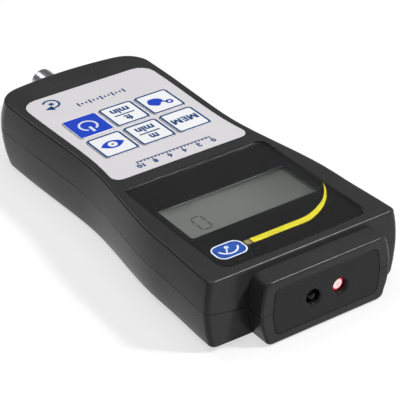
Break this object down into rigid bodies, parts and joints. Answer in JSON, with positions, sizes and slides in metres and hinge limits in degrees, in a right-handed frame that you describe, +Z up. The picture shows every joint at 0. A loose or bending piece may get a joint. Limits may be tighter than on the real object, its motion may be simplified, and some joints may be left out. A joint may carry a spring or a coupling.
{
  "type": "laser tachometer",
  "caption": "Hand-held tachometer with a laser and light sensor in its nose, a contact spindle at the other end, a windowed display and sprung keys.",
  "frame": {"origin": "middle of the overall box, on the surface that the meter lies on", "axes": "+Y along the casing towards the sensor nose, +Z up out of the display face, +X to the user's right"},
  "size_m": [0.0744, 0.1694, 0.0263],
  "materials": {
    "casing": "fine spark-eroded grain",
    "end_plate": "fine grain",
    "window": "polished",
    "lcd": "satin polariser",
    "frame_plastic": "moulded",
    "contact_rubber": "silicone",
    "board": "solder mask",
    "component": "moulded epoxy",
    "crystal_case": "drawn can",
    "label": "satin printed film",
    "key_white": "satin",
    "key_blue": "satin",
    "laser_brass": "turned",
    "laser_glass": "polished",
    "tube_plastic": "moulded",
    "sensor_glass": "polished",
    "ribbon": "flat lead",
    "steel": "turned and polished",
    "spring_steel": "stamped",
    "bronze": "sintered",
    "cell": "plain steel jacket",
    "contact_metal": "nickel plated",
    "screw_steel": "zinc plated"
  },
  "bodies": {
    "root": {"front_cover": "casing", "back_cover": "casing", "nose_plate": "end_plate", "display_window": "window", "lcd_panel": "lcd", "lcd_frame": "frame_plastic", "contact_strips": "contact_rubber", "main_board": "board", "processor_chip": "component", "timing_crystal": "crystal_case", "key_switches": "component", "keypad_label": "label", "laser_module": "laser_brass", "laser_lens": "laser_glass", "sensor_tube": "tube_plastic", "sensor_lens": "sensor_glass", "sensor_board": "board", "ribbon_lead": "ribbon", "encoder_sensor": "component", "encoder_board": "board", "front_bush": "bronze", "rear_bush": "bronze", "battery_1": "cell", "battery_2": "cell", "battery_3": "cell", "battery_4": "cell", "battery_contacts": "contact_metal", "case_screws": "screw_steel", "board_screws": "screw_steel"},
    "key_power_cap": {"key_power": "key_blue"},
    "key_feet_cap": {"key_feet": "key_white"},
    "key_metres_cap": {"key_metres": "key_white"},
    "key_optical_cap": {"key_optical": "key_white"},
    "key_contact_cap": {"key_contact": "key_white"},
    "key_memory_cap": {"key_memory": "key_white"},
    "spindle_shaft": {"spindle": "steel", "spindle_clip": "spring_steel", "encoder_disc": "spring_steel"},
    "door": {"battery_door": "casing"}
  },
  "joints": [
    {"name": "key_power_press", "type": "slide", "parent": "root", "child": "key_power_cap", "axis": [0, 0, -1], "range_m": [0, 0.0005], "stiffness_N_per_m": 600, "springref_m": -0.0015},
    {"name": "key_feet_press", "type": "slide", "parent": "root", "child": "key_feet_cap", "axis": [0, 0, -1], "range_m": [0, 0.0005], "stiffness_N_per_m": 600, "springref_m": -0.0015},
    {"name": "key_metres_press", "type": "slide", "parent": "root", "child": "key_metres_cap", "axis": [0, 0, -1], "range_m": [0, 0.0005], "stiffness_N_per_m": 600, "springref_m": -0.0015},
    {"name": "key_optical_press", "type": "slide", "parent": "root", "child": "key_optical_cap", "axis": [0, 0, -1], "range_m": [0, 0.0005], "stiffness_N_per_m": 600, "springref_m": -0.0015},
    {"name": "key_contact_press", "type": "slide", "parent": "root", "child": "key_contact_cap", "axis": [0, 0, -1], "range_m": [0, 0.0005], "stiffness_N_per_m": 600, "springref_m": -0.0015},
    {"name": "key_memory_press", "type": "slide", "parent": "root", "child": "key_memory_cap", "axis": [0, 0, -1], "range_m": [0, 0.0005], "stiffness_N_per_m": 600, "springref_m": -0.0015},
    {"name": "spindle_spin", "type": "hinge", "parent": "root", "child": "spindle_shaft", "pos_m": [0, 0, 0.0149], "axis": [0, -1, 0], "continuous": true},
    {"name": "door_slide", "type": "slide", "parent": "root", "child": "door", "axis": [0, -1, 0], "range_m": [0, 0.088]}
  ]
}
